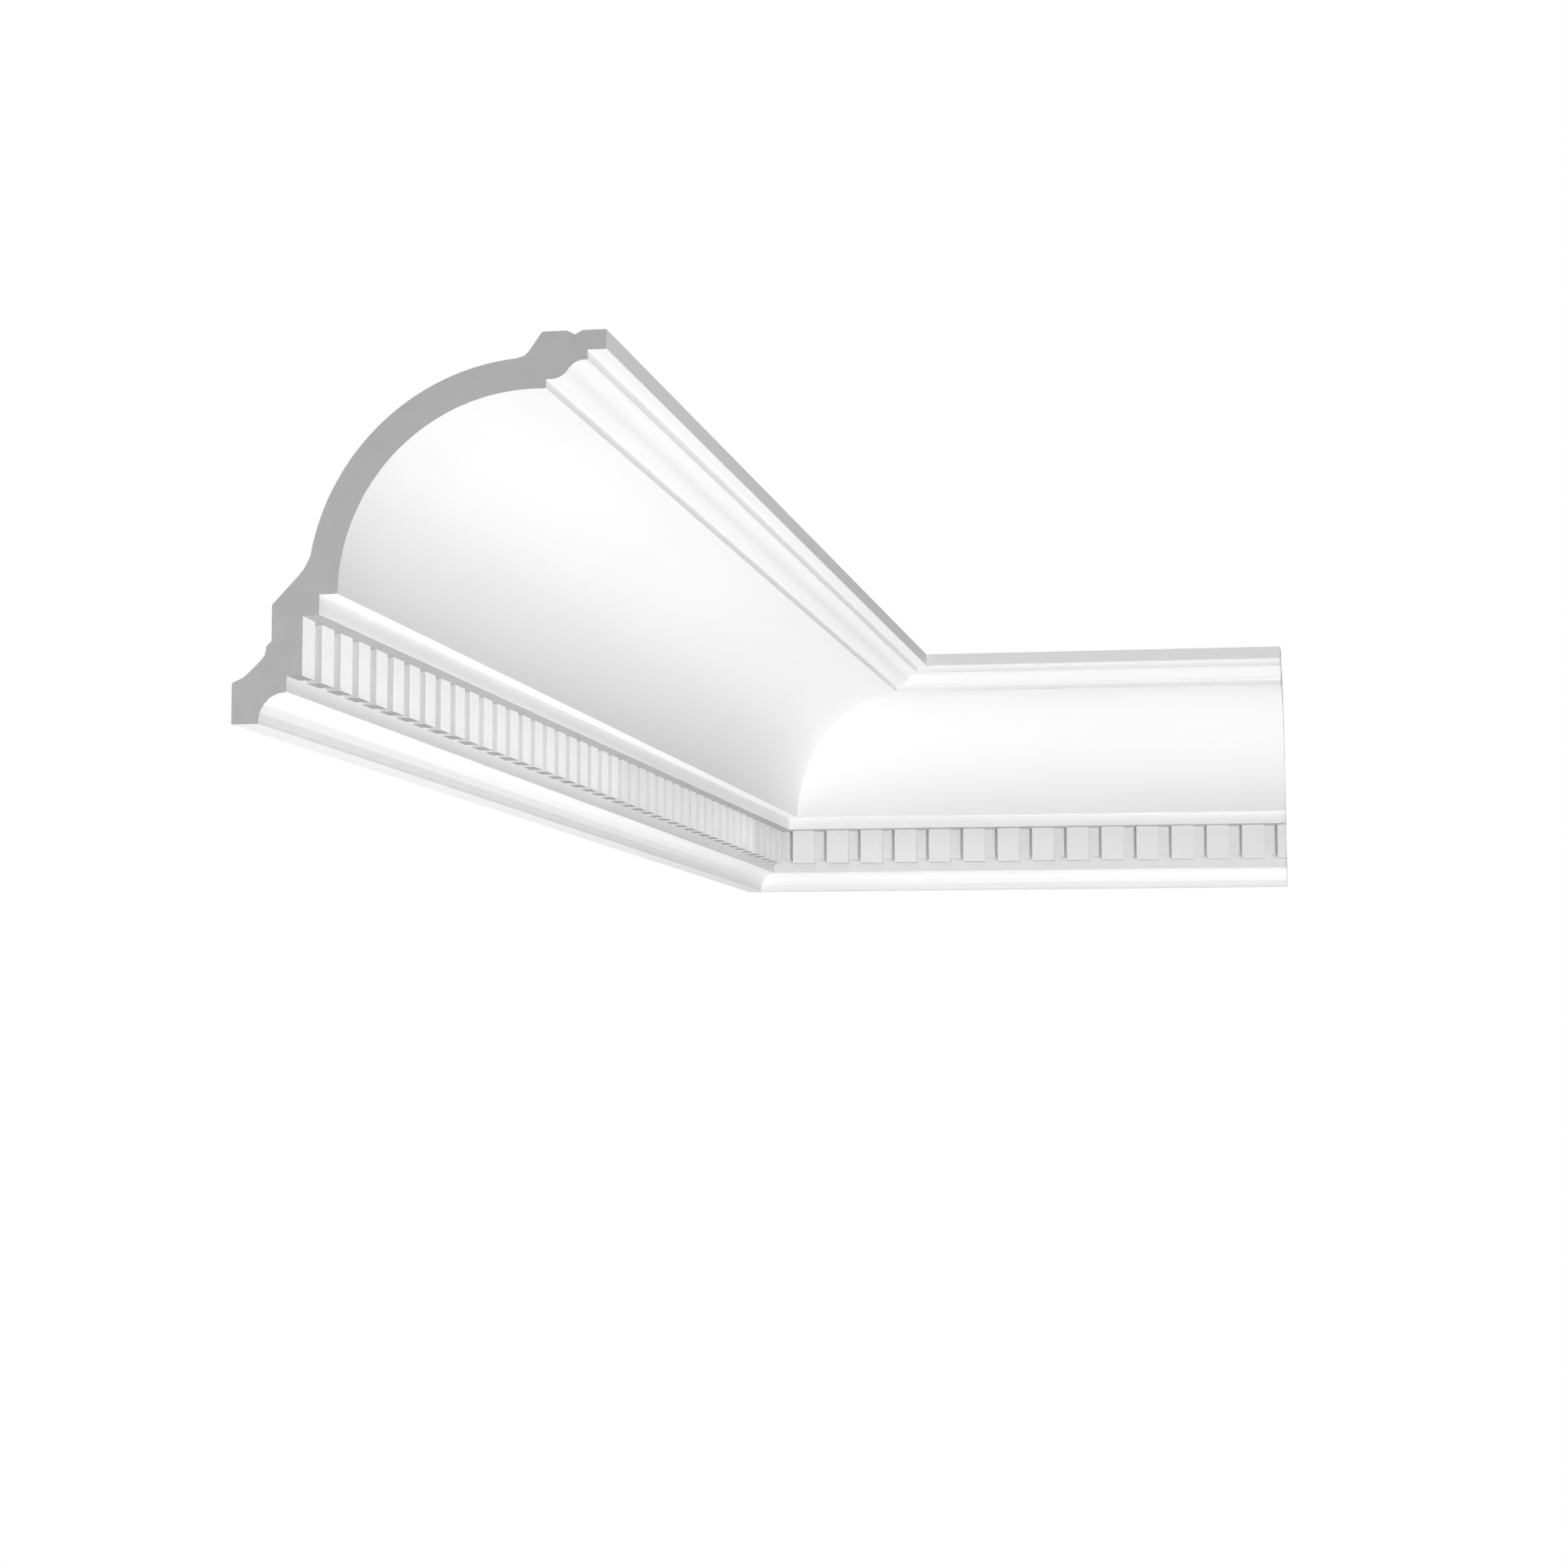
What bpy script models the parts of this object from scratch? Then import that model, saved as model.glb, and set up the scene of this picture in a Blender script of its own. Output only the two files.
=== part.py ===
"""Coved cornice with a dentil band: two lengths that meet at a mitre in a room's inner corner.

Frame, in metres: X runs along the back wall, Y points into the back wall, Z is up.
The origin is the room's inner corner at the ceiling: the ceiling is Z = 0, the left wall X = 0
and the back wall Y = 0. The left run lies along the left wall, the right run along the back wall.
A point of the moulding's section is (out, up): out from the wall, up from the ceiling, so up < 0.
"""

import math

import bmesh
import bpy

# Lengths from the room's corner to each square-cut free end
LEFT_LENGTH = 1.2515
RIGHT_LENGTH = 0.4343
JOINT_GAP = 0.0003

# Front of the section, measured outwards from the wall
FOOT_THICKNESS = 0.0123
CAVETTO_RADIUS = 0.0128
DENTIL_DEPTH = 0.0070
LIP_OVERHANG = 0.0074
LIP_SOFFIT = 0.0083
COVE_RADIUS = 0.0881
COVE_LAND = 0.0051
OGEE_WIDTH = 0.0185
FASCIA_SOFFIT = 0.0085

# Front of the section, measured downwards from the ceiling
FASCIA_HEIGHT = 0.0088
UPPER_FILLET = 0.0043
OGEE_DROP = 0.0081
LOWER_FILLET = 0.0040
LIP_HEIGHT = 0.0088
SOFFIT_FALL = 0.0007
DENTIL_HEIGHT = 0.0262
FOOT_FILLET = 0.0071
FOOT_LIP = 0.0011

# The ogee is two equal arcs between a short outer land and an inner one
OGEE_RADIUS = 0.0090
OGEE_OUTER_LAND = 0.0011

# Dentil band
DENTIL_PITCH = 0.0276
DENTIL_WIDTH = 0.0176
RECESS_DEPTH = 0.0041
RECESS_RISE = 0.0031
RIGHT_FIRST_DENTIL = 0.0412

# Back of the section
WALL_LAND = 0.0183
CEILING_LAND = 0.0286
GROOVE_FROM_FACE = 0.01415
GROOVE_WIDTH = 0.0070
GROOVE_DEPTH = 0.0018
COVE_WALL = 0.0141
BAND_WALL = 0.0142
BACK_STEP = 0.0024
BACK_STEP_HEIGHT = 0.0023
FOOT_SHOULDER_OUT = 0.0050
FOOT_SHOULDER_RISE = 0.0022
FOOT_BACK_SLOPE = math.radians(44.0)
BACK_STEP_BELOW_COVE = 0.0202
BACK_SLOPE_BELOW_COVE = 0.0041
BACK_SLOPE = math.radians(46.5)
TOP_SLOPE = math.radians(56.0)
BACK_EASING = 0.0040
TOP_EASING = 0.0030

# Facets along the curves
COVE_FACETS = 36
CAVETTO_FACETS = 8
OGEE_FACETS = 6
BACK_FACETS = 24
EASING_FACETS = 4

# Places along the section that follow from the sizes above
FILLET_OUT = FOOT_THICKNESS + CAVETTO_RADIUS
DENTIL_OUT = FILLET_OUT + DENTIL_DEPTH
RECESS_OUT = DENTIL_OUT - RECESS_DEPTH
LIP_OUT = DENTIL_OUT + LIP_OVERHANG
COVE_OUT = LIP_OUT + LIP_SOFFIT
COVE_CENTRE_OUT = COVE_OUT + COVE_RADIUS
OGEE_OUT = COVE_CENTRE_OUT + COVE_LAND
UPPER_OUT = OGEE_OUT + OGEE_WIDTH
PROJECTION = UPPER_OUT + FASCIA_SOFFIT

UPPER_UP = -FASCIA_HEIGHT - UPPER_FILLET
OGEE_UP = UPPER_UP - OGEE_DROP
COVE_TOP_UP = OGEE_UP - LOWER_FILLET
COVE_UP = COVE_TOP_UP - COVE_RADIUS
LIP_UP = COVE_UP - LIP_HEIGHT
DENTIL_TOP_UP = LIP_UP - SOFFIT_FALL
DENTIL_UP = DENTIL_TOP_UP - DENTIL_HEIGHT
FILLET_UP = DENTIL_UP - FOOT_FILLET
CAVETTO_UP = FILLET_UP - CAVETTO_RADIUS
DROP = FOOT_LIP - CAVETTO_UP

# The mitre plane of each run stands back from the corner's diagonal by half the joint
MITRE_SETBACK = JOINT_GAP / math.sqrt(2)


def arc(centre_out, centre_up, radius, start, end, facets):
    """Points of an arc of the section, both ends included; angles in radians."""
    points = []
    for i in range(facets + 1):
        angle = start + (end - start) * i / facets
        points.append((centre_out + radius * math.cos(angle), centre_up + radius * math.sin(angle)))
    return points


def eased(before, corner, after, easing):
    """A corner rounded between two points that lie at most `easing` away from it."""
    ends = []
    for other in (before, after):
        reach = math.dist(corner, other)
        share = min(easing, 0.45 * reach) / reach
        ends.append([c + (o - c) * share for c, o in zip(corner, other)])
    points = []
    for i in range(EASING_FACETS + 1):
        t = i / EASING_FACETS
        weights = ((1 - t) ** 2, 2 * t * (1 - t), t ** 2)
        points.append(tuple(
            weights[0] * a + weights[1] * c + weights[2] * b
            for a, c, b in zip(ends[0], corner, ends[1])
        ))
    return points


def meet_circle(start, angle, radius):
    """Where a line from `start` first meets the circle of `radius` about the cove's centre."""
    dx = start[0] - COVE_CENTRE_OUT
    dy = start[1] - COVE_UP
    along = dx * math.cos(angle) + dy * math.sin(angle)
    reach = -along - math.sqrt(along ** 2 - dx ** 2 - dy ** 2 + radius ** 2)
    return (start[0] + reach * math.cos(angle), start[1] + reach * math.sin(angle))


def ogee():
    """The ogee from the upper fillet down to the lower one, as two arcs that share a tangent."""
    turn = math.acos(1 - OGEE_DROP / 2 / OGEE_RADIUS)
    reach = OGEE_RADIUS * math.sin(turn)
    start = UPPER_OUT - OGEE_OUTER_LAND
    quarter = math.pi / 2
    upper = arc(start, UPPER_UP - OGEE_RADIUS, OGEE_RADIUS, quarter, quarter + turn, OGEE_FACETS)
    lower = arc(start - 2 * reach, OGEE_UP + OGEE_RADIUS, OGEE_RADIUS, turn - quarter, -quarter, OGEE_FACETS)
    return [(UPPER_OUT, UPPER_UP)] + upper + lower[1:] + [(OGEE_OUT, OGEE_UP)]


def front_above_band():
    """The front from the ceiling down to the lip above the dentils."""
    cove = arc(COVE_CENTRE_OUT, COVE_UP, COVE_RADIUS, math.pi / 2, math.pi, COVE_FACETS)
    return (
        [(PROJECTION, 0.0), (PROJECTION, -FASCIA_HEIGHT), (UPPER_OUT, -FASCIA_HEIGHT)]
        + ogee()
        + [(OGEE_OUT, COVE_TOP_UP)]
        + cove
        + [(LIP_OUT, COVE_UP), (LIP_OUT, LIP_UP)]
    )


def front_below_band():
    """The front from the fillet under the dentils down to the foot on the wall."""
    cavetto = arc(FILLET_OUT, CAVETTO_UP, CAVETTO_RADIUS, math.pi / 2, math.pi, CAVETTO_FACETS)
    return cavetto + [(FOOT_THICKNESS, -DROP), (0.0, -DROP)]


def back():
    """The back from the foot up behind the dentils and the cove to the ceiling."""
    radius = COVE_RADIUS + COVE_WALL
    band_out = DENTIL_OUT - BAND_WALL
    step_out = band_out - BACK_STEP
    step_up = COVE_UP - BACK_STEP_BELOW_COVE
    shoulder = (FOOT_SHOULDER_OUT, WALL_LAND + FOOT_SHOULDER_RISE - DROP)
    rise = (step_out - FOOT_SHOULDER_OUT) * math.tan(FOOT_BACK_SLOPE)
    foot_top = (step_out, shoulder[1] + rise)
    under_step = (step_out, step_up - BACK_STEP_HEIGHT)
    slope_start = (band_out, COVE_UP - BACK_SLOPE_BELOW_COVE)
    slope_end = meet_circle(slope_start, BACK_SLOPE, radius)
    ceiling_end = (PROJECTION - CEILING_LAND, 0.0)
    top_end = meet_circle(ceiling_end, math.pi + TOP_SLOPE, radius)
    first = math.atan2(slope_end[1] - COVE_UP, slope_end[0] - COVE_CENTRE_OUT)
    last = math.atan2(top_end[1] - COVE_UP, top_end[0] - COVE_CENTRE_OUT)
    trim = BACK_EASING / radius
    curve = arc(COVE_CENTRE_OUT, COVE_UP, radius, first - trim, last + trim, BACK_FACETS)
    groove = PROJECTION - GROOVE_FROM_FACE
    return (
        [(0.0, WALL_LAND - DROP)]
        + eased((0.0, WALL_LAND - DROP), shoulder, foot_top, BACK_EASING)
        + eased(shoulder, foot_top, under_step, BACK_EASING)
        + [under_step, (band_out, step_up), slope_start]
        + eased(slope_start, slope_end, curve[0], 2 * BACK_EASING)
        + curve
        + eased(curve[-1], top_end, ceiling_end, 2 * BACK_EASING)
        + eased(top_end, ceiling_end, (groove - GROOVE_WIDTH / 2, 0.0), TOP_EASING)
        + [(groove - GROOVE_WIDTH / 2, 0.0), (groove, -GROOVE_DEPTH), (groove + GROOVE_WIDTH / 2, 0.0)]
    )


def band_corners(is_dentil):
    """The section across the dentil band: under the lip, at the bottom front, and on the fillet."""
    if is_dentil:
        return [(DENTIL_OUT, DENTIL_TOP_UP), (DENTIL_OUT, DENTIL_UP), (FILLET_OUT, DENTIL_UP)]
    fall = SOFFIT_FALL * RECESS_DEPTH / LIP_OVERHANG
    ledge_up = DENTIL_UP + RECESS_RISE
    return [(RECESS_OUT, DENTIL_TOP_UP - fall), (RECESS_OUT, ledge_up), (FILLET_OUT, ledge_up)]


def band_edges(first_dentil, length):
    """Distances from the corner where a dentil starts or ends, and whether a dentil meets the mitre."""
    nearest = DENTIL_OUT + MITRE_SETBACK + JOINT_GAP
    furthest = length - JOINT_GAP
    offset = (nearest - first_dentil) % DENTIL_PITCH
    edges = []
    step = math.floor((nearest - first_dentil) / DENTIL_PITCH)
    while first_dentil + step * DENTIL_PITCH < furthest:
        start = first_dentil + step * DENTIL_PITCH
        edges += [edge for edge in (start, start + DENTIL_WIDTH) if nearest < edge < furthest]
        step += 1
    return edges, offset < DENTIL_WIDTH


def build_run(name, colour, length, first_dentil, place):
    """One length of cornice; `place` turns (distance from the corner, out, up) into a point."""
    mesh = bmesh.new()

    def row(points, distance=None):
        """Vertices for points of the section at one distance, or on the mitre plane if there is none."""
        return [
            mesh.verts.new(place(out + MITRE_SETBACK if distance is None else distance, out, up))
            for out, up in points
        ]

    above = front_above_band()
    rest = front_below_band() + back()
    edges, is_dentil = band_edges(first_dentil, length)
    ends = {}
    for distance in (None, length):
        ends[distance] = (row(above, distance), row(rest, distance))

    # Long faces above and below the band, and the ceiling face that closes the loop
    for part in (0, 1):
        near, far = ends[None][part], ends[length][part]
        for i in range(len(near) - 1):
            mesh.faces.new((near[i], near[i + 1], far[i + 1], far[i]))
    mesh.faces.new((ends[None][1][-1], ends[None][0][0], ends[length][0][0], ends[length][1][-1]))

    # Dentils and recesses in turn, from the mitre to the free end
    soffit = []
    fillet = []
    near = row(band_corners(is_dentil))
    mitre_band = near
    for distance in edges + [length]:
        far = row(band_corners(is_dentil), distance)
        mesh.faces.new((near[0], near[1], far[1], far[0]))
        mesh.faces.new((near[1], near[2], far[2], far[1]))
        soffit += [near[0], far[0]]
        fillet += [near[2], far[2]]
        if distance < length:
            is_dentil = not is_dentil
            near = row(band_corners(is_dentil), distance)
            mesh.faces.new(far + near[::-1])
    mesh.faces.new([ends[length][0][-1], ends[None][0][-1]] + soffit)
    mesh.faces.new([ends[length][1][0], ends[None][1][0]] + fillet)

    # The mitre cut and the square-cut free end
    mesh.faces.new(ends[None][0] + mitre_band + ends[None][1])
    mesh.faces.new(ends[length][0] + far + ends[length][1])
    bmesh.ops.recalc_face_normals(mesh, faces=mesh.faces)

    data = bpy.data.meshes.new(name)
    mesh.to_mesh(data)
    mesh.free()
    data.shade_smooth()
    data.set_sharp_from_angle(angle=math.radians(30))
    data.materials.append(primer(name + "_primer", colour))
    run = bpy.data.objects.new(name, data)
    bpy.context.scene.collection.objects.link(run)
    return run


def primer(name, colour):
    """Matt white primer over moulded foam."""
    material = bpy.data.materials.new(name)
    material.use_nodes = True
    shader = material.node_tree.nodes["Principled BSDF"]
    shader.inputs["Base Color"].default_value = (*colour, 1.0)
    shader.inputs["Roughness"].default_value = 0.62
    shader.inputs["Metallic"].default_value = 0.0
    material.diffuse_color = (*colour, 1.0)
    return material


for old in list(bpy.data.objects):
    bpy.data.objects.remove(old, do_unlink=True)

# The left run's dentils are set out from its free end, the right run's from the room's corner
build_run(
    "cornice_left_run", (0.84, 0.84, 0.835), LEFT_LENGTH, LEFT_LENGTH - DENTIL_WIDTH,
    lambda distance, out, up: (out, -distance, up),
)
build_run(
    "cornice_right_run", (0.84, 0.84, 0.835), RIGHT_LENGTH, RIGHT_FIRST_DENTIL,
    lambda distance, out, up: (distance, -out, up),
)
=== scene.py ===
"""Dresses a coved dentil cornice, made for an inner corner, for its studio picture.

The cornice is two lengths of one moulding. The left run has its back on X = 0, the right run has
its back on Y = 0, and both reach up to Z = 0. Each length is a moulded casting: its section is
drawn once, drawn out along the run, joined with its dentils, and sawn to length.
A point of the section is (out, up): out from the plane of the run's back, and up from the plane
of its top, so up is negative.
"""

import logging
import math
from dataclasses import dataclass, field
from enum import Enum

import bmesh
import bpy
from mathutils import Matrix, Vector

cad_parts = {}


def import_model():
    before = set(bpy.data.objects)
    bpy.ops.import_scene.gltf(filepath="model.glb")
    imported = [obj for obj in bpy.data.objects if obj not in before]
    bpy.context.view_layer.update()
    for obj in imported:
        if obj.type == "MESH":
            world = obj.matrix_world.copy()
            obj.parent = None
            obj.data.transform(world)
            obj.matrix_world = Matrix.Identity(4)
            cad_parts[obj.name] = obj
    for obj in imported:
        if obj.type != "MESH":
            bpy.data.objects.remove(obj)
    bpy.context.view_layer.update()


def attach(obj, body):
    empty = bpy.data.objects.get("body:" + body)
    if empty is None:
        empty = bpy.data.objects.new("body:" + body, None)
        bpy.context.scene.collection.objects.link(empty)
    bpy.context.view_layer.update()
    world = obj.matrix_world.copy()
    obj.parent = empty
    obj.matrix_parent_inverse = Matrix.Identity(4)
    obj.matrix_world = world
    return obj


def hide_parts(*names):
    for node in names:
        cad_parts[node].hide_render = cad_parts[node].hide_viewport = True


LOG = logging.getLogger("cornice")
Point = tuple[float, float]
Place = tuple[float, float, float]
Colour = tuple[float, float, float]

# Turns between two faces past which their edge is softened, left sharp, or parts two flats
SOFTENED_TURN = math.radians(40)
SHARP_TURN = math.radians(35)
FLAT_TURN = math.radians(9)
# A facet wider than this many softened arrises is a flat of its own
FLAT_WIDTHS = 3
# Cosines past which an edge lies along the run, and a face belongs to the back or looks down
ALONG_RUN = 0.99
TOWARDS_BACK = 0.5
DOWNWARDS = 0.8
# Of an arris's facets, only the lowest has its middle below this part of the arris's height
ARRIS_FACETS = 3
LOWEST_FACET = 1 / 9
SAW_TOLERANCE = 1e-7


class Hand(Enum):
    """Which run of the corner a length makes, with the axes that its section is laid out on."""

    LEFT = "left"
    RIGHT = "right"

    @property
    def node(self) -> str:
        """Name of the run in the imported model."""
        return f"cornice_{self.value}_run"

    @property
    def placement(self) -> Matrix:
        """Turns (out, distance from the corner, up) into the frame's axes.

        Returns:
            A rotation or reflection about the corner.
        """
        if self is Hand.LEFT:
            return Matrix(((1, 0, 0, 0), (0, -1, 0, 0), (0, 0, 1, 0), (0, 0, 0, 1)))
        return Matrix(((0, 1, 0, 0), (-1, 0, 0, 0), (0, 0, 1, 0), (0, 0, 0, 1)))


class Face(Enum):
    """The kinds of surface on a length of moulding, by material slot."""

    PRIMED = 0
    SAWN = 1
    BACK = 2
    # These three slots take primer darkened as painted shade
    LIP_SOFFIT = 3
    DENTIL_SOFFIT = 4
    RECESS = 5


def grey(level: float) -> Colour:
    """Gives a neutral colour, from 0 for black to 1 for white."""
    return (level, level, level)


def arc(centre: Point, radius: float, start: float, end: float, facets: int) -> list[Point]:
    """Lays points along an arc of the section, both ends included.

    Args:
        centre: Centre of the arc as (out, up).
        radius: Radius in metres.
        start: First angle in degrees.
        end: Last angle in degrees.
        facets: Number of chords.

    Returns:
        The points from the first angle to the last.
    """
    points = []
    for i in range(facets + 1):
        angle = math.radians(start + (end - start) * i / facets)
        points.append((centre[0] + radius * math.cos(angle), centre[1] + radius * math.sin(angle)))
    return points


def shifted(points: tuple[Point, ...], out: float, up: float) -> list[Point]:
    """Moves points of the section by a distance out and a distance up."""
    return [(point[0] + out, point[1] + up) for point in points]


def soften(mesh: bmesh.types.BMesh, edges: list[bmesh.types.BMEdge], width: float) -> None:
    """Rounds edges off with a few small facets.

    Args:
        mesh: Mesh that the edges belong to.
        edges: The edges.
        width: Width of the rounding on each of an edge's two faces.
    """
    bmesh.ops.bevel(
        mesh, geom=edges, offset=width, offset_type="OFFSET",
        segments=ARRIS_FACETS, profile=0.5, affect="EDGES", material=-1,
    )


def mesh_object(name: str, mesh: bmesh.types.BMesh) -> bpy.types.Object:
    """Turns a finished bmesh into an object of the scene, and frees it.

    Args:
        name: Name of the object and of its mesh.
        mesh: The bmesh.

    Returns:
        The object, at the origin.
    """
    data = bpy.data.meshes.new(name)
    mesh.to_mesh(data)
    mesh.free()
    made = bpy.data.objects.new(name, data)
    bpy.context.scene.collection.objects.link(made)
    return made


class SurfaceNodes:
    """A new material with its nodes, where every pattern follows Object coordinates."""

    def __init__(self, name: str, roughness: float, shine: float) -> None:
        """Starts an even material.

        Args:
            name: Name of the material.
            roughness: Roughness of the surface, from 0 to 1.
            shine: Strength of its reflections, where 0.5 is a common paint.
        """
        self.material = bpy.data.materials.new(name)
        self.material.use_nodes = True
        self.nodes = self.material.node_tree.nodes
        self.links = self.material.node_tree.links
        self.inputs = self.nodes["Principled BSDF"].inputs
        self.inputs["Roughness"].default_value = roughness
        self.inputs["Specular IOR Level"].default_value = shine

    def pattern(self, kind: str, size: float) -> bpy.types.Node:
        """Adds a pattern whose marks have a given size.

        Args:
            kind: Blender's name of the pattern's node.
            size: Size of a mark in metres.

        Returns:
            The pattern's node.
        """
        where = self.nodes.new("ShaderNodeTexCoord")
        node = self.nodes.new(kind)
        node.inputs["Scale"].default_value = 1 / size
        self.links.new(where.outputs["Object"], node.inputs["Vector"])
        return node

    def clouds(self, size: float, detail: float) -> bpy.types.NodeSocket:
        """Adds soft noise.

        Args:
            size: Size of a cloud in metres.
            detail: Number of finer layers in it.

        Returns:
            The noise, from 0 to 1.
        """
        node = self.pattern("ShaderNodeTexNoise", size)
        node.inputs["Detail"].default_value = detail
        return node.outputs["Fac"]

    def cells(self, size: float) -> bpy.types.NodeSocket:
        """Adds round cells of a given size, as the distance from each cell's middle."""
        return self.pattern("ShaderNodeTexVoronoi", size).outputs["Distance"]

    def scaled(
        self, value: bpy.types.NodeSocket, source: Point = (0.0, 1.0), target: Point = (0.0, 1.0)
    ) -> bpy.types.NodeSocket:
        """Stretches one span of a value to another, and holds it at the ends.

        Args:
            value: The value.
            source: Lowest and highest level that count.
            target: Levels to give for them.

        Returns:
            The stretched value.
        """
        node = self.nodes.new("ShaderNodeMapRange")
        for name, level in zip(("From Min", "From Max", "To Min", "To Max"), (*source, *target)):
            node.inputs[name].default_value = level
        self.links.new(value, node.inputs["Value"])
        return node.outputs["Result"]

    def tone(self, value: bpy.types.NodeSocket, colour: Colour, shares: Point, margin: float) -> None:
        """Varies the surface's colour with a value.

        Args:
            value: The value, from 0 to 1.
            colour: Colour of the surface.
            shares: What the colour is multiplied by at the low and at the high end.
            margin: Part of the value's span at each end where the colour no longer changes.
        """
        node = self.nodes.new("ShaderNodeValToRGB")
        for stop, position, share in zip(node.color_ramp.elements, (margin, 1 - margin), shares):
            stop.position = position
            stop.color = (*(level * share for level in colour), 1.0)
        self.links.new(value, node.inputs["Fac"])
        self.links.new(node.outputs["Color"], self.inputs["Base Color"])

    def relief(self, height: bpy.types.NodeSocket, strength: float, depth: float) -> None:
        """Gives the surface a fine relief.

        Args:
            height: The relief, from 0 to 1.
            strength: How much of it shows, from 0 to 1.
            depth: Its depth in metres.
        """
        node = self.nodes.new("ShaderNodeBump")
        node.inputs["Strength"].default_value = strength
        node.inputs["Distance"].default_value = depth
        self.links.new(height, node.inputs["Height"])
        self.links.new(node.outputs["Normal"], self.inputs["Normal"])


@dataclass(frozen=True)
class PrimerFinish:
    """Factory primer: matt white paint sprayed on the moulded skin."""

    name: str = "white_primer"
    colour: Colour = grey(0.78)
    roughness: float = 0.62
    roughness_change: float = 0.05
    shine: float = 0.32
    cloud_size: float = 0.09
    cloud_detail: float = 4.0
    cloud_depth: float = 0.012
    cloud_margin: float = 0.35
    peel_size: float = 0.0011
    peel_detail: float = 2.0
    peel_strength: float = 0.35
    peel_height: float = 0.00003

    def material(self) -> bpy.types.Material:
        """Builds the paint with its fine spray texture and a faint unevenness of tone.

        Returns:
            The finished material.
        """
        surface = SurfaceNodes(self.name, self.roughness, self.shine)
        clouds = surface.clouds(self.cloud_size, self.cloud_detail)
        surface.tone(clouds, self.colour, (1 - self.cloud_depth, 1.0), self.cloud_margin)
        sheen = (self.roughness - self.roughness_change, self.roughness + self.roughness_change)
        surface.links.new(surface.scaled(clouds, target=sheen), surface.inputs["Roughness"])
        peel = surface.clouds(self.peel_size, self.peel_detail)
        surface.relief(peel, self.peel_strength, self.peel_height)
        return surface.material


@dataclass(frozen=True)
class PaintedShadePrimerFinish(PrimerFinish):
    """The same primer, darker, in the dentil band and under it: painted shade where the lip and the
    dentils cast shadow.
    """

    name: str = "painted_shade_primer"
    # Grey well below the primer's: painted shade under the lip
    colour: Colour = grey(0.35)
    roughness: float = 0.72
    cloud_depth: float = 0.05


@dataclass(frozen=True)
class SawnFoamFinish:
    """The hard foam core where a length is sawn through: flat grey with fine closed cells."""

    name: str = "sawn_foam"
    colour: Colour = grey(0.60)
    roughness: float = 0.85
    shine: float = 0.2
    mottle_size: float = 0.012
    mottle_detail: float = 6.0
    mottle_shares: Point = (0.965, 1.02)
    mottle_margin: float = 0.3
    cell_size: float = 0.0006
    cell_strength: float = 0.4
    cell_depth: float = 0.00008

    def material(self) -> bpy.types.Material:
        """Builds the foam with closed cells and a slight mottle.

        Returns:
            The finished material.
        """
        surface = SurfaceNodes(self.name, self.roughness, self.shine)
        mottle = surface.clouds(self.mottle_size, self.mottle_detail)
        surface.tone(mottle, self.colour, self.mottle_shares, self.mottle_margin)
        surface.relief(surface.cells(self.cell_size), self.cell_strength, self.cell_depth)
        return surface.material


@dataclass(frozen=True)
class FoamSkinFinish:
    """The moulded back, left as it comes out of the mould: a dull skin with fine pinholes."""

    name: str = "foam_skin"
    colour: Colour = (0.73, 0.73, 0.72)
    roughness: float = 0.78
    shine: float = 0.25
    cloud_size: float = 0.035
    cloud_detail: float = 6.0
    cloud_shares: Point = (0.95, 1.03)
    cloud_margin: float = 0.3
    pore_size: float = 0.0024
    pore_edge: Point = (0.10, 0.28)
    pore_strength: float = 0.5
    pore_depth: float = 0.00025

    def material(self) -> bpy.types.Material:
        """Builds the skin with scattered pinholes and a cloudy tone.

        Returns:
            The finished material.
        """
        surface = SurfaceNodes(self.name, self.roughness, self.shine)
        clouds = surface.clouds(self.cloud_size, self.cloud_detail)
        surface.tone(clouds, self.colour, self.cloud_shares, self.cloud_margin)
        pores = surface.scaled(surface.cells(self.pore_size), source=self.pore_edge)
        surface.relief(pores, self.pore_strength, self.pore_depth)
        return surface.material


@dataclass(frozen=True)
class FloorFinish:
    """Plain pale studio floor."""

    name: str = "pale_floor"
    colour: Colour = grey(0.86)
    roughness: float = 0.9
    shine: float = 0.5

    def material(self) -> bpy.types.Material:
        """Builds a matt pale surface.

        Returns:
            The finished material.
        """
        surface = SurfaceNodes(self.name, self.roughness, self.shine)
        surface.inputs["Base Color"].default_value = (*self.colour, 1.0)
        return surface.material


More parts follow.
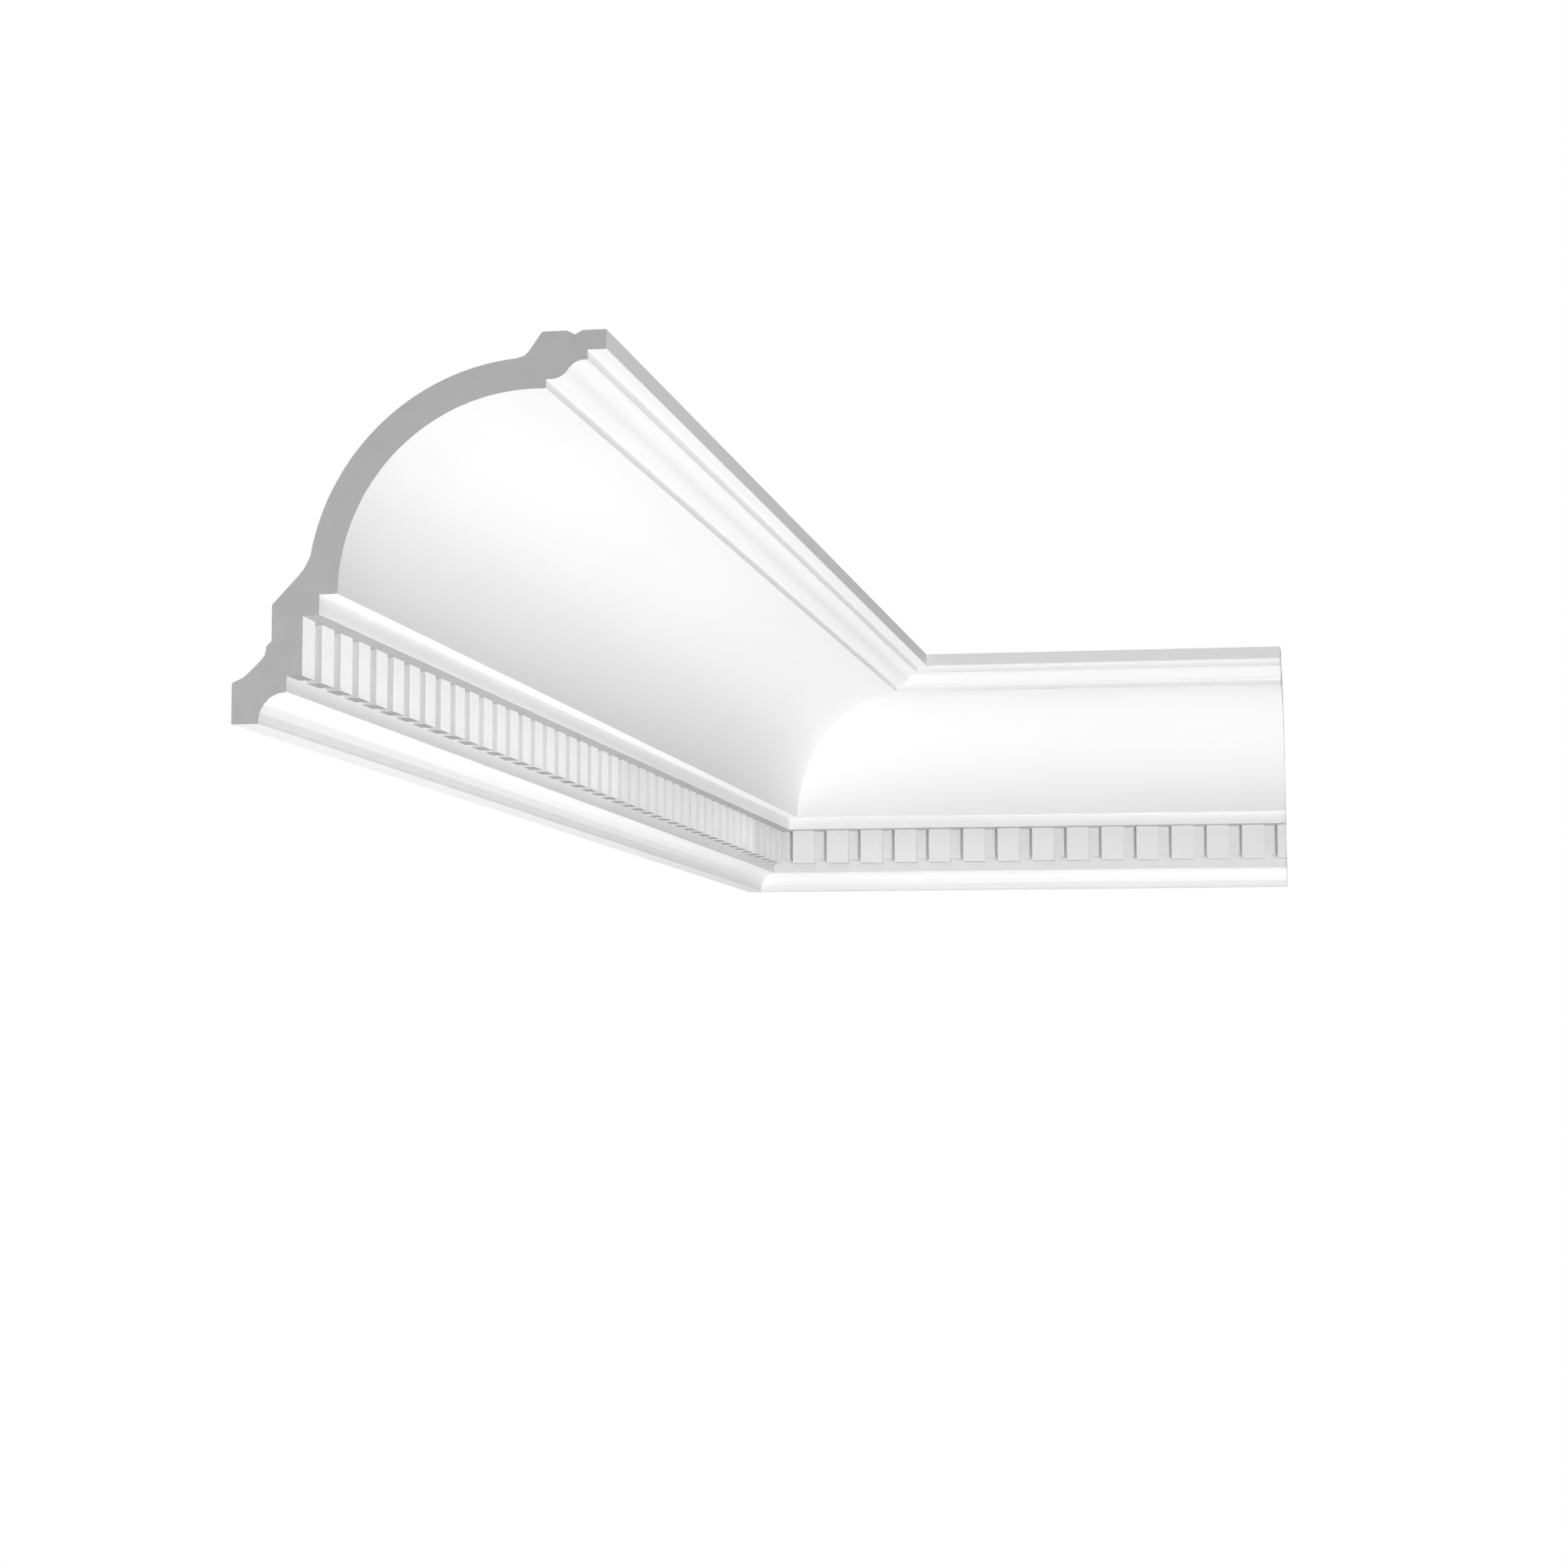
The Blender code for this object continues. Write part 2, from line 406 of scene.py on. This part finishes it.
@dataclass
class Section:
    """The moulding's section, as sizes in metres stepping out from its back and down from its top."""

    foot_thickness: float = 0.0123
    cavetto_radius: float = 0.0128
    dentil_depth: float = 0.0070
    lip_overhang: float = 0.0074
    lip_soffit: float = 0.0083
    cove_radius: float = 0.0881
    cove_land: float = 0.0051
    ogee_width: float = 0.0185
    fascia_soffit: float = 0.0085

    fascia_height: float = 0.0088
    upper_fillet: float = 0.0043
    ogee_drop: float = 0.0081
    lower_fillet: float = 0.0040
    lip_height: float = 0.0088
    soffit_fall: float = 0.0007
    dentil_height: float = 0.0262
    foot_fillet: float = 0.0071
    foot_lip: float = 0.0011

    ogee_radius: float = 0.0090
    ogee_outer_land: float = 0.0011
    recess_depth: float = 0.0041
    recess_rise: float = 0.0031
    arris: float = 0.0002

    foot_land: float = 0.0183
    top_land: float = 0.0286
    groove_from_face: float = 0.01415
    groove_width: float = 0.0070
    groove_depth: float = 0.0018
    cove_wall: float = 0.0141
    band_wall: float = 0.0142
    back_step: float = 0.0024
    back_step_height: float = 0.0023
    back_step_above_land: float = 0.0145
    back_step_below_cove: float = 0.0202
    back_slope_below_cove: float = 0.0041

    # Points of the back's slopes: from the end of the foot's land, from the band's back at the
    # level of the cove's centre, and from the end of the top's land
    foot_slope: tuple[Point, ...] = (
        (0.0, 0.0), (0.0022, 0.0010), (0.0048, 0.0021),
        (0.0070, 0.0038), (0.0130, 0.0096), (0.0148, 0.0119),
    )
    band_slope: tuple[Point, ...] = ((0.0114, 0.0079), (0.0143, 0.0113), (0.0161, 0.0147))
    top_slope: tuple[Point, ...] = (
        (-0.0082, -0.0104), (-0.0068, -0.0092), (-0.0050, -0.0069), (-0.0008, -0.0008), (0.0002, 0.0),
    )
    # First and last angle of the curve behind the cove, in degrees
    back_curve: Point = (170.3, 94.6)

    ogee_facets: int = 12
    cove_facets: int = 72
    cavetto_flats: int = 5
    back_facets: int = 60

    @property
    def fillet_out(self) -> float:
        """Face of the fillet under the dentils."""
        return self.foot_thickness + self.cavetto_radius

    @property
    def dentil_out(self) -> float:
        """Face of the dentils."""
        return self.fillet_out + self.dentil_depth

    @property
    def recess_out(self) -> float:
        """Face of the recesses between the dentils."""
        return self.dentil_out - self.recess_depth

    @property
    def lip_out(self) -> float:
        """Face of the lip above the dentils."""
        return self.dentil_out + self.lip_overhang

    @property
    def cove_centre(self) -> Point:
        """Centre of the cove's quarter circle."""
        out = self.lip_out + self.lip_soffit + self.cove_radius
        return (out, self.ogee_up - self.lower_fillet - self.cove_radius)

    @property
    def ogee_out(self) -> float:
        """Face of the fillet under the ogee."""
        return self.cove_centre[0] + self.cove_land

    @property
    def upper_out(self) -> float:
        """Face of the fillet above the ogee."""
        return self.ogee_out + self.ogee_width

    @property
    def projection(self) -> float:
        """How far the moulding stands out at its top."""
        return self.upper_out + self.fascia_soffit

    @property
    def ogee_up(self) -> float:
        """Level of the ogee's lower edge."""
        return -(self.fascia_height + self.upper_fillet + self.ogee_drop)

    @property
    def lip_up(self) -> float:
        """Level of the lip's lower edge."""
        return self.cove_centre[1] - self.lip_height

    @property
    def dentil_top_up(self) -> float:
        """Level of the soffit where it meets the dentils' faces."""
        return self.lip_up - self.soffit_fall

    @property
    def dentil_up(self) -> float:
        """Level of the dentils' undersides."""
        return self.dentil_top_up - self.dentil_height

    @property
    def ledge_up(self) -> float:
        """Level of the ledge that the recesses end on."""
        return self.dentil_up + self.recess_rise

    @property
    def drop(self) -> float:
        """How far the moulding comes down."""
        return self.foot_fillet + self.cavetto_radius + self.foot_lip - self.dentil_up

    def ogee(self) -> list[Point]:
        """Draws the ogee as two arcs with a common tangent, between its two short lands.

        Returns:
            Points from the upper fillet to the lower one.
        """
        radius = self.ogee_radius
        turn = math.acos(1 - self.ogee_drop / 2 / radius)
        bend = math.degrees(turn)
        top = self.ogee_up + self.ogee_drop
        high_centre = (self.upper_out - self.ogee_outer_land, top - radius)
        low_centre = (high_centre[0] - 2 * radius * math.sin(turn), self.ogee_up + radius)
        upper = arc(high_centre, radius, 90, 90 + bend, self.ogee_facets)
        lower = arc(low_centre, radius, bend - 90, -90, self.ogee_facets)
        return [(self.upper_out, top), *upper, *lower[1:], (self.ogee_out, self.ogee_up)]

    def front(self) -> list[Point]:
        """Draws the front with the dentil band left as one recess, from the top to the foot.

        Returns:
            Points down the front.
        """
        centre = self.cove_centre
        fall = self.soffit_fall * (self.lip_overhang + self.recess_depth) / self.lip_overhang
        cavetto = (self.fillet_out, self.dentil_up - self.foot_fillet - self.cavetto_radius)
        return [
            (self.projection, 0.0),
            (self.projection, -self.fascia_height),
            (self.upper_out, -self.fascia_height),
            *self.ogee(),
            (self.ogee_out, centre[1] + self.cove_radius),
            *arc(centre, self.cove_radius, 90, 180, self.cove_facets),
            (self.lip_out, centre[1]),
            (self.lip_out, self.lip_up),
            (self.recess_out, self.lip_up - fall),
            (self.recess_out, self.ledge_up),
            (self.fillet_out, self.ledge_up),
            *arc(cavetto, self.cavetto_radius, 90, 180, self.cavetto_flats),
            (self.foot_thickness, -self.drop),
            (0.0, -self.drop),
        ]

    def back(self) -> list[Point]:
        """Draws the back, from the foot up behind the cove to the top.

        Returns:
            Points up the back.
        """
        land_up = self.foot_land - self.drop
        cove_up = self.cove_centre[1]
        band_out = self.dentil_out - self.band_wall
        step_out = band_out - self.back_step
        step_up = cove_up - self.back_step_below_cove
        curve_radius = self.cove_radius + self.cove_wall
        groove = self.projection - self.groove_from_face
        return [
            *shifted(self.foot_slope, 0.0, land_up),
            (step_out, land_up + self.back_step_above_land),
            (step_out, step_up - self.back_step_height),
            (band_out, step_up),
            (band_out, cove_up - self.back_slope_below_cove),
            *shifted(self.band_slope, band_out, cove_up),
            *arc(self.cove_centre, curve_radius, *self.back_curve, self.back_facets),
            *shifted(self.top_slope, self.projection - self.top_land, 0.0),
            (groove - self.groove_width / 2, 0.0),
            (groove, -self.groove_depth),
            (groove + self.groove_width / 2, 0.0),
        ]

    def outline(self) -> list[Point]:
        """Draws the whole closed section: down the front and back up behind, each point once."""
        return self.front() + self.back()


@dataclass
class DentilBand:
    """The row of small blocks under the cove."""

    section: Section
    pitch: float = 0.0276
    width: float = 0.0176
    bury: float = 0.0030

    def starts(self, first: float, lowest: float, highest: float) -> list[float]:
        """Finds where the dentils begin along a run.

        Args:
            first: Distance from the corner at which one of them begins.
            lowest: Distance from the corner past which a dentil has to end, to show at the mitre.
            highest: Longest distance from the corner at which one may begin.

        Returns:
            The distances, in rising order.
        """
        step = math.floor((lowest - self.width - first) / self.pitch) + 1
        found = []
        while first + step * self.pitch < highest:
            found.append(first + step * self.pitch)
            step += 1
        return found

    def blocks(self, starts: list[float], length: float, placement: Matrix) -> bmesh.types.BMesh:
        """Models the dentils with softened arrises, let into the body behind and above.

        Args:
            starts: Distances from the corner at which they begin.
            length: Length of the run; a dentil that reaches it is drawn past it, to be sawn.
            placement: Turns (out, distance, up) into the frame's axes.

        Returns:
            A mesh of closed blocks.
        """
        low = (self.section.fillet_out - self.bury, self.section.dentil_up)
        high = (self.section.dentil_out, self.section.lip_up + self.bury)
        mesh = bmesh.new()
        for start in starts:
            sawn = start + self.width > length - self.section.arris
            width = self.width + (self.bury if sawn else 0.0)
            size = (high[0] - low[0], width, high[1] - low[1], 1.0)
            centre = Vector(((low[0] + high[0]) / 2, start + width / 2, (low[1] + high[1]) / 2))
            shape = placement @ Matrix.Translation(centre) @ Matrix.Diagonal(size)
            bmesh.ops.create_cube(mesh, size=1.0, matrix=shape)
        soften(mesh, mesh.edges[:], self.section.arris)
        bmesh.ops.recalc_face_normals(mesh, faces=mesh.faces)
        return mesh


@dataclass
class Run:
    """One moulded length of the cornice, mitred at the corner and sawn square at its free end."""

    hand: Hand
    length: float
    first_dentil: float
    section: Section
    band: DentilBand
    joint: float = 0.00004
    waste: float = 0.006

    def body(self) -> bmesh.types.BMesh:
        """Draws the section out past both ends and softens its long arrises.

        Returns:
            A closed prism, a little too long at both ends.
        """
        mesh = bmesh.new()
        placement = self.hand.placement
        corners = [
            mesh.verts.new(placement @ Vector((out, -self.waste, up)))
            for out, up in self.section.outline()
        ]
        ring = [mesh.edges.new(pair) for pair in zip(corners, corners[1:] + corners[:1])]
        cap = bmesh.ops.contextual_create(mesh, geom=ring)["faces"]
        grown = bmesh.ops.extrude_face_region(mesh, geom=cap)["geom"]
        moved = [part for part in grown if isinstance(part, bmesh.types.BMVert)]
        along = placement @ Vector((0.0, self.length + 2 * self.waste, 0.0))
        bmesh.ops.translate(mesh, verts=moved, vec=along)
        bmesh.ops.recalc_face_normals(mesh, faces=mesh.faces)
        axis = along.normalized()
        arrises = [
            edge for edge in mesh.edges
            if abs((edge.verts[1].co - edge.verts[0].co).normalized().dot(axis)) > ALONG_RUN
            and edge.calc_face_angle() > SOFTENED_TURN
            and edge.is_convex
        ]
        soften(mesh, arrises, self.section.arris)
        return mesh

    def cast(self) -> bpy.types.Object:
        """Joins the body and its dentils into one casting.

        Returns:
            The casting as an object named after its run, still too long at both ends.
        """
        casting = mesh_object(f"{self.hand.value}_run_casting", self.body())
        past_mitre = self.section.dentil_out
        starts = self.band.starts(self.first_dentil, past_mitre, self.length + self.waste / 2)
        dentils = self.band.blocks(starts, self.length, self.hand.placement)
        blocks = mesh_object("dentil_blocks", dentils)
        union = casting.modifiers.new("dentils", "BOOLEAN")
        union.operation = "UNION"
        union.solver = "EXACT"
        union.object = blocks
        graph = bpy.context.evaluated_depsgraph_get()
        joined = bpy.data.meshes.new_from_object(casting.evaluated_get(graph))
        casting.modifiers.clear()
        casting.data = joined
        joined.name = casting.name
        bpy.data.objects.remove(blocks)
        LOG.info("%s: %d dentils", casting.name, len(starts))
        return casting

    def saw(self, casting: bpy.types.Object) -> None:
        """Cuts the mitre and the free end, and tells every face what it is.

        Args:
            casting: The casting to cut.
        """
        mesh = bmesh.new()
        mesh.from_mesh(casting.data)
        placement = self.hand.placement
        mitre_normal = (placement @ Vector((1.0, -1.0, 0.0))).normalized()
        end_normal = placement @ Vector((0.0, 1.0, 0.0))
        self.cut(mesh, -mitre_normal * self.joint / 2, mitre_normal)
        self.cut(mesh, end_normal * self.length, end_normal)
        bmesh.ops.recalc_face_normals(mesh, faces=mesh.faces)
        for face in mesh.faces:
            face.smooth = True
            if face.material_index != Face.SAWN.value:
                face.material_index = self.kind(face).value
        for edge in mesh.edges:
            edge.smooth = not self.crisp(edge)
        mesh.to_mesh(casting.data)
        mesh.free()

    def cut(self, mesh: bmesh.types.BMesh, point: Vector, normal: Vector) -> None:
        """Saws through a mesh, drops what lies past the cut, and closes it with sawn faces.

        Args:
            mesh: The mesh.
            point: A point of the cut.
            normal: Direction in which the waste lies.
        """
        bmesh.ops.bisect_plane(
            mesh, geom=mesh.verts[:] + mesh.edges[:] + mesh.faces[:],
            dist=SAW_TOLERANCE, plane_co=point, plane_no=normal, clear_outer=True,
        )
        rim = [edge for edge in mesh.edges if edge.is_boundary]
        for face in bmesh.ops.holes_fill(mesh, edges=rim, sides=0)["faces"]:
            face.material_index = Face.SAWN.value

    def crisp(self, edge: bmesh.types.BMEdge) -> bool:
        """Tells whether an edge stays sharp, as at a cut, an inner corner or a flat of the cavetto.

        Args:
            edge: The edge.

        Returns:
            False inside a curve and on a softened arris.
        """
        turn = edge.calc_face_angle()
        narrower = min(face.calc_area() for face in edge.link_faces) / edge.calc_length()
        between_flats = narrower > FLAT_WIDTHS * self.section.arris
        return turn > SHARP_TURN or (turn > FLAT_TURN and between_flats)

    def kind(self, face: bmesh.types.BMFace) -> Face:
        """Tells which kind of surface a moulded face belongs to.

        Args:
            face: The face.

        Returns:
            The back, an underside or a recess of the dentil band, or the plain primed front.
        """
        section = self.section
        outwards = self.hand.placement @ Vector((1.0, 0.0, 0.0))
        if max(-face.normal.dot(outwards), face.normal.z) > TOWARDS_BACK:
            return Face.BACK
        centre = face.calc_center_median()
        slack = section.arris
        lowest = section.dentil_up - slack
        highest = section.lip_up + slack * LOWEST_FACET
        if not lowest < centre.z < highest:
            return Face.PRIMED
        # Undersides and recesses of the dentil band are picked out here to take painted shade
        if face.normal.z < -DOWNWARDS:
            return Face.LIP_SOFFIT if centre.z > section.ledge_up + slack else Face.DENTIL_SOFFIT
        if abs(centre.dot(outwards) - section.recess_out) < slack:
            return Face.RECESS
        return Face.PRIMED

    def build(self, finishes: dict[Face, bpy.types.Material]) -> bpy.types.Object:
        """Makes the finished run and puts it in place of its solid.

        Args:
            finishes: Finish of each kind of surface.

        Returns:
            The finished piece.
        """
        piece = self.cast()
        piece.data.materials.clear()
        for kind in Face:
            piece.data.materials.append(finishes[kind])
        self.saw(piece)
        even = piece.modifiers.new("flats_stay_flat", "WEIGHTED_NORMAL")
        even.keep_sharp = True
        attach(piece, "root")
        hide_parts(self.hand.node)
        LOG.info("%s: %d faces", piece.name, len(piece.data.polygons))
        return piece


@dataclass
class Cornice:
    """The corner piece: a long left run and a short right run that meet at a mitre."""

    left_length: float = 1.2515
    right_length: float = 0.4343
    right_first_dentil: float = 0.0412
    section: Section = field(default_factory=Section)

    def build(self) -> list[bpy.types.Object]:
        """Makes both runs.

        Returns:
            The finished pieces.
        """
        band = DentilBand(self.section)
        finishes = {
            Face.PRIMED: PrimerFinish().material(),
            Face.SAWN: SawnFoamFinish().material(),
            Face.BACK: FoamSkinFinish().material(),
            # Undersides of the lip and of the dentils take darker primer: painted shade, darkest under
            # the dentils
            Face.LIP_SOFFIT: PaintedShadePrimerFinish().material(),
            Face.DENTIL_SOFFIT: PaintedShadePrimerFinish("deepest_painted_shade_primer", grey(0.28)).material(),
            # Recesses between the dentils take a slightly darker primer: painted shade
            Face.RECESS: PaintedShadePrimerFinish("recess_painted_shade_primer", grey(0.73)).material(),
        }
        runs = [
            Run(Hand.LEFT, self.left_length, self.left_length - band.width, self.section, band),
            Run(Hand.RIGHT, self.right_length, self.right_first_dentil, self.section, band),
        ]
        return [run.build(finishes) for run in runs]


@dataclass
class SoftLight:
    """A rectangular soft light, whose grid may narrow its spread in degrees."""

    name: str
    place: Place
    aim: Place
    size: tuple[float, float]
    watts: float
    spread: float = 180.0

    def build(self) -> bpy.types.Object:
        """Hangs the light, turned to its aim and unseen by the camera.

        Returns:
            The light.
        """
        lamp = bpy.data.lights.new(self.name, "AREA")
        lamp.shape = "RECTANGLE"
        lamp.size, lamp.size_y = self.size
        lamp.energy = self.watts
        lamp.spread = math.radians(self.spread)
        light = bpy.data.objects.new(self.name, lamp)
        light.location = self.place
        aim = Vector(self.aim) - Vector(self.place)
        light.rotation_euler = aim.to_track_quat("-Z", "Y").to_euler()
        light.visible_camera = False
        bpy.context.scene.collection.objects.link(light)
        return light


@dataclass
class Studio:
    """Floor, soft light, pale surroundings and the camera."""

    floor_place: Place = (0.2, -0.6, -4.0)
    floor_width: float = 14.4

    strip_out: float = 0.08
    strip_aim_out: float = 0.03
    strip_up: float = -0.136
    strip_height: float = 0.029
    strip_spread: float = 18.0

    camera_place: Place = (0.48263, -2.60741, -0.32857)
    camera_turn: tuple[float, float, float] = (95.3321, -0.0204, 9.8791)
    camera_lens: float = 74.616
    camera_sensor: float = 36.0
    camera_reach: float = 100.0

    fill: Colour = grey(0.15)
    backdrop: Colour = grey(1.0)

    def build(self) -> None:
        """Sets up everything round the cornice."""
        self.floor()
        self.surroundings()
        self.camera()
        for light in self.lights():
            light.build()

    def strip(self, name: str, along: float, length: float, watts: float) -> SoftLight:
        """Makes a narrow light that faces the left run's dentils and reaches little else.

        Args:
            name: Name of the light.
            along: Y of its middle.
            length: Its length along the run.
            watts: Its strength.

        Returns:
            The light.
        """
        place = (self.strip_out, along, self.strip_up)
        aim = (self.strip_aim_out, along, self.strip_up)
        return SoftLight(name, place, aim, (length, self.strip_height), watts, self.strip_spread)

    def lights(self) -> list[SoftLight]:
        """Lists the soft lights: a key from the front right, low ones, and some for the other sides.

        Returns:
            The lights.
        """
        middle = (0.15, -0.4, -0.1)
        return [
            SoftLight("key", (3.4, -4.7, -1.6), middle, size=(1.2, 1.2), watts=104.9),
            SoftLight("low_key", (1.1, -1.5, -2.0), middle, size=(0.3, 0.3), watts=31.3),
            SoftLight("low_front", (0.4, -1.6, -2.2), (0.25, -0.1, -0.1), size=(0.5, 0.5), watts=3.5),
            SoftLight("low_left", (-0.6, -0.3, -2.2), middle, size=(0.3, 0.3), watts=5.5),
            SoftLight("low_middle", (0.12, -0.5, -2.2), (0.12, -0.5, -0.1), size=(0.3, 0.3), watts=8.9),
            self.strip("near_strip", along=-0.97, length=0.7, watts=0.0065),
            self.strip("long_strip", along=-0.715, length=1.12, watts=0.0239),
            SoftLight("sawn_end", (-0.9, -2.1, -0.2), (0.07, -1.25, -0.09), size=(0.5, 0.5), watts=4.9),
            SoftLight("overhead", (0.2, -0.6, 3.0), (0.2, -0.6, 0.0), size=(3.0, 3.0), watts=50.0),
            SoftLight("rear_soft", (-2.4, 1.8, 1.4), (0.05, -0.4, -0.05), size=(1.5, 1.5), watts=60.0),
            SoftLight("floor_wash", (0.2, -0.6, -2.8), self.floor_place, size=(20.0, 20.0), watts=1050.0),
        ]

    def floor(self) -> bpy.types.Object:
        """Lays a plain pale floor well below the cornice, from which no light comes back up.

        Returns:
            The floor.
        """
        mesh = bmesh.new()
        shape = Matrix.Translation(self.floor_place)
        bmesh.ops.create_grid(mesh, x_segments=1, y_segments=1, size=self.floor_width / 2, matrix=shape)
        floor = mesh_object("floor", mesh)
        floor.data.materials.append(FloorFinish().material())
        floor.visible_diffuse = False
        return floor

    def surroundings(self) -> None:
        """Fills the surroundings with soft even light, and shows them white to the camera."""
        world = bpy.data.worlds.new("soft_surroundings")
        bpy.context.scene.world = world
        world.use_nodes = True
        nodes, links = world.node_tree.nodes, world.node_tree.links
        nodes.clear()
        rays = nodes.new("ShaderNodeLightPath")
        mix = nodes.new("ShaderNodeMixShader")
        links.new(rays.outputs["Is Camera Ray"], mix.inputs["Fac"])
        for slot, colour in ((1, self.fill), (2, self.backdrop)):
            even = nodes.new("ShaderNodeBackground")
            even.inputs["Color"].default_value = (*colour, 1.0)
            links.new(even.outputs["Background"], mix.inputs[slot])
        out = nodes.new("ShaderNodeOutputWorld")
        links.new(mix.outputs["Shader"], out.inputs["Surface"])
        bpy.context.scene.view_settings.view_transform = "Standard"
        bpy.context.scene.view_settings.look = "None"

    def camera(self) -> bpy.types.Object:
        """Stands the camera below the cornice and to its right, looking slightly up.

        Returns:
            The camera.
        """
        lens = bpy.data.cameras.new("camera")
        lens.lens = self.camera_lens
        lens.sensor_width = self.camera_sensor
        lens.clip_end = self.camera_reach
        camera = bpy.data.objects.new("camera", lens)
        camera.location = self.camera_place
        camera.rotation_euler = [math.radians(angle) for angle in self.camera_turn]
        bpy.context.scene.collection.objects.link(camera)
        bpy.context.scene.camera = camera
        return camera


def main() -> None:
    """Loads the frame and builds the cornice and its studio."""
    logging.basicConfig(level=logging.INFO, format="%(name)s: %(message)s")
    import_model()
    for piece in Cornice().build():
        LOG.info("built %s", piece.name)
    Studio().build()
    bpy.context.view_layer.update()


if __name__ == "__main__":
    main()
